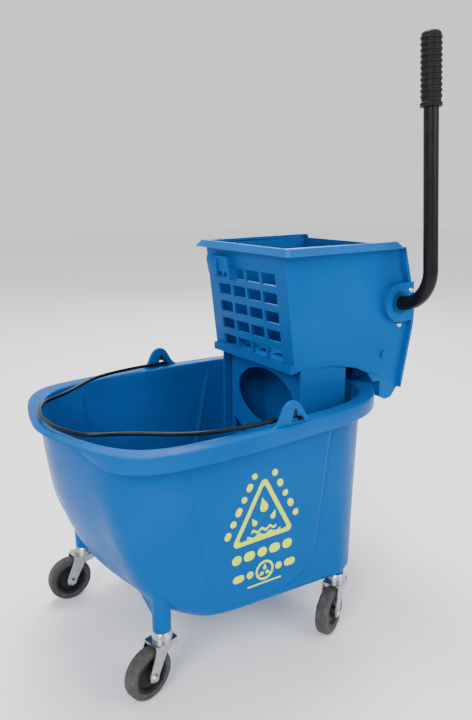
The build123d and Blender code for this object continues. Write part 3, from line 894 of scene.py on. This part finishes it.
bm = bmesh.new()
filled(bm, rounded(triangle(1.0), 7.0), [rounded(triangle(0.80), 3.5)])
for centre, size, angle in (((-53, 262), 7.5, 12), ((-70, 240), 4.5, 30), ((-36, 243), 4.5, -25)):
    drop(bm, centre, size, angle)
for row, (wide, z) in enumerate(RIPPLES):
    wave = [(APEX.x - wide / 2 + wide * k / (RIPPLE_POINTS - 1),
             z + RIPPLE_RISE * sin(k * pi / 4 + row)) for k in range(RIPPLE_POINTS)]
    under = [(y, up - RIPPLE_THICK) for y, up in reversed(wave)]
    filled(bm, wave + under)
print("triangle drawn with", len(bm.faces), "flat faces")

# %% the bars and the ring of drops
ASIDE, ABOVE, BAR_HIGH = 14, 9, 10.5
RING_CENTRE = (-50, 155)

for share, length in ((0.14, 13), (0.30, 11), (0.46, 14), (0.62, 10), (0.78, 13), (0.93, 9)):
    y, z = LEFT.lerp(APEX, share)
    bar(bm, (y - ASIDE, z + ABOVE), length, BAR_HIGH, 60.8)
for share, length in ((0.10, 11), (0.28, 13), (0.46, 10), (0.64, 14), (0.82, 11)):
    y, z = APEX.lerp(RIGHT, share)
    bar(bm, (y + ASIDE, z + ABOVE), length, BAR_HIGH, -61.0)
for y, length in ((-102, 17), (-79, 20), (-55, 17), (-32, 20), (-8, 18)):
    bar(bm, (y, 188), length, 15)
filled(bm, arc(RING_CENTRE, 16.5, 0, 360, 47)[:-1], [arc(RING_CENTRE, 13.0, 0, 360, 39)[:-1]])
for angle in (90, 210, 330):
    y, z = turned([(5.6, 0)], (RING_CENTRE[0], RING_CENTRE[1] - 1.5), angle)[0]
    drop(bm, (y, z), 3.0, angle - 90)
for y, length in ((-98, 20), (-77, 12), (-24, 12), (-3, 20)):
    bar(bm, (y, RING_CENTRE[1]), length, 12)
bar(bm, (RING_CENTRE[0], 134), 62, 2.4)
print("whole mark drawn with", len(bm.faces), "flat faces")

# %% laying the mark on both walls
FILM_LOW, FILM_HIGH, LONG_EDGE = -0.15, 0.30, 9

bmesh.ops.triangulate(bm, faces=bm.faces)
long_edges = [e for e in bm.edges if e.calc_length() > LONG_EDGE]
bmesh.ops.subdivide_edges(bm, edges=long_edges, cuts=2, use_grid_fill=True)
bmesh.ops.triangulate(bm, faces=bm.faces)
raised = set(thicken(bm, bm.faces[:], (0, 0, 1)))
for vert in bm.verts:
    y, z = vert.co.x, vert.co.y
    vert.co = Vector((wall_x(y, z) + (FILM_HIGH if vert in raised else FILM_LOW), y, z)) * MM
far = bmesh.ops.duplicate(bm, geom=bm.verts[:] + bm.edges[:] + bm.faces[:])["geom"]
for vert in only_verts(far):
    vert.co.x = -vert.co.x


def printed_ink(name, colour):
    finish = Finish(name, IOR=1.48, Specular_IOR_Level=0.3)
    thin = finish.ramp(finish.noise(45, 4), (0.3, shade(colour, 0.88)),
                       (0.7, shade(colour, 1.05)))
    specks = finish.ramp(finish.noise(900, 2), (0.0, shade(colour, 0.8)), (1.0, colour))
    finish.colour(finish.mix(finish.span(finish.noise(240, 5), 0.0, 0.5, 0.5, 0.8), thin, specks))
    finish.roughness(finish.span(finish.noise(150, 3), 0.42, 0.6))
    finish.relief(finish.noise(1200, 2), 0.00005, 0.5)
    return finish.material


mark_ink = printed_ink("mark_yellow_green_ink", (0.66, 0.86, 0.004, 1))
side_mark = finish_piece(bm, "side_mark", mark_ink, "tub", smooth=30)

# %% [markdown]
# ## Hanger and hook on the wringer
# High on the front wall, towards the far side, the hopper carries a stout block with a hook that
# reaches down over the first row of holes. Scaled cubes would stand off the leaning wall, so each
# block starts as a drawn outline in the plane of the wall, is thickened outward, and has its
# front edges rounded.

# %% where the wringer's walls are
FRONT_Y, FRONT_TOP, FRONT_LEAN = 43.0, 633.0, 24.0 / 197.0


def front_wall_y(z):
    """Front face of the wringer at a height."""
    return FRONT_Y + FRONT_LEAN * (FRONT_TOP - z)


def hopper_half(y):
    """Half width of the wringer, which widens towards the rear."""
    return 113.0 + 18.0 * (y - 20.0) / 320.0


print("hopper is", round(2 * hopper_half(FRONT_Y)), "mm wide at its front")

# %% hanger and hook
SINK, STAND_OUT = 1.5, 15.0


def wall_block(bm, outline, stand_out, edge=1.8):
    """A block on the front wall from an (across, up) outline, thickened towards the front."""
    ring = [bm.verts.new(Vector((x, front_wall_y(z) + SINK, z)) * MM) for x, z in outline]
    front = thicken(bm, [bm.faces.new(ring)], (0, -(stand_out + SINK), 0))
    soften(bm, list({e for v in front for e in v.link_edges}), edge, 3)


bm = bmesh.new()
wall_block(bm, rounded([(-96, 589), (-30, 589), (-30, 616), (-96, 616)], 4, 4), 13.5)
wall_block(bm, rounded([(-88, 583), (-62, 583), (-58, 612), (-92, 612)], 3, 4), 17.5)
hook = arc((-38, 583), 11.5, 175, 20, 12) + arc((-38, 583), 5.5, 20, 175, 9)
wall_block(bm, hook, STAND_OUT, edge=1.2)
tongue = rounded([(-32, 576), (-26.5, 576), (-25, 598), (-32, 598)], 1.5, 3)
wall_block(bm, tongue, STAND_OUT, edge=1.0)
hanger = finish_piece(bm, "hanger_hook", wringer_blue, "wringer")

# %% [markdown]
# ## The wringer's body
# The hopper is one moulding with a drain grid, lever bosses and a collar round its mouth. Most of
# it is already right in the exact solid, so a copy is taken and its triangles are joined. The
# collar should be only a shallow sloping band, so it is squashed upwards to half its height. The
# rod that the press hinges on shows only its ends, which wear the wringer's blue.

# %% wringer body
COLLAR_FOOT, COLLAR_TOP, COLLAR_SQUASH = 616.0, 640.0, 0.48
OUTSIDE_WALL = 1.5


def in_collar(vert):
    """Whether a point is on the collar, outside the hopper's side or front wall."""
    x, y, z = vert.co / MM
    return z > COLLAR_FOOT - 0.3 and (abs(x) > hopper_half(y) + OUTSIDE_WALL
                                      or y < front_wall_y(COLLAR_FOOT) - OUTSIDE_WALL)


bm = bmesh.new()
bm.from_mesh(frame["nodes"]["wringer_hopper"].data)
bmesh.ops.remove_doubles(bm, verts=bm.verts, dist=0.00001)
collar = [v for v in bm.verts if in_collar(v)]
for vert in collar:
    vert.co.z = (COLLAR_TOP - (COLLAR_TOP - vert.co.z / MM) * COLLAR_SQUASH) * MM
print("collar points lifted:", len(collar))
hopper_body = finish_piece(bm, "hopper_body", wringer_blue, "wringer",
                           smooth=12, outward=False)
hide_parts("wringer_hopper")
paint_node("hinge_rod", wringer_blue)

# %% [markdown]
# ## Cheeks of the wringer
# Behind the drain floor the hopper's sides reach down to the tub's rim as thin cheeks. They could
# be sculpted onto the body, but a flat plate is what they are: each is drawn as an outline in the
# side plane, thickened to the wall's own thickness, and rounded.

# %% cheeks
CHEEK = [(226, 412.5), (237, 398), (244, 391.3), (258, 391.3), (258, 402), (236, 411)]

bm = bmesh.new()
for side in (-1, 1):
    outer = [bm.verts.new(Vector((side * hopper_half(y), y, z)) * MM) for y, z in CHEEK]
    thicken(bm, [bm.faces.new(outer)], (-side * WALL, 0, 0))
soften(bm, bm.edges[:], 0.8, 2)
hopper_cheeks = finish_piece(bm, "hopper_cheeks", wringer_blue, "wringer")
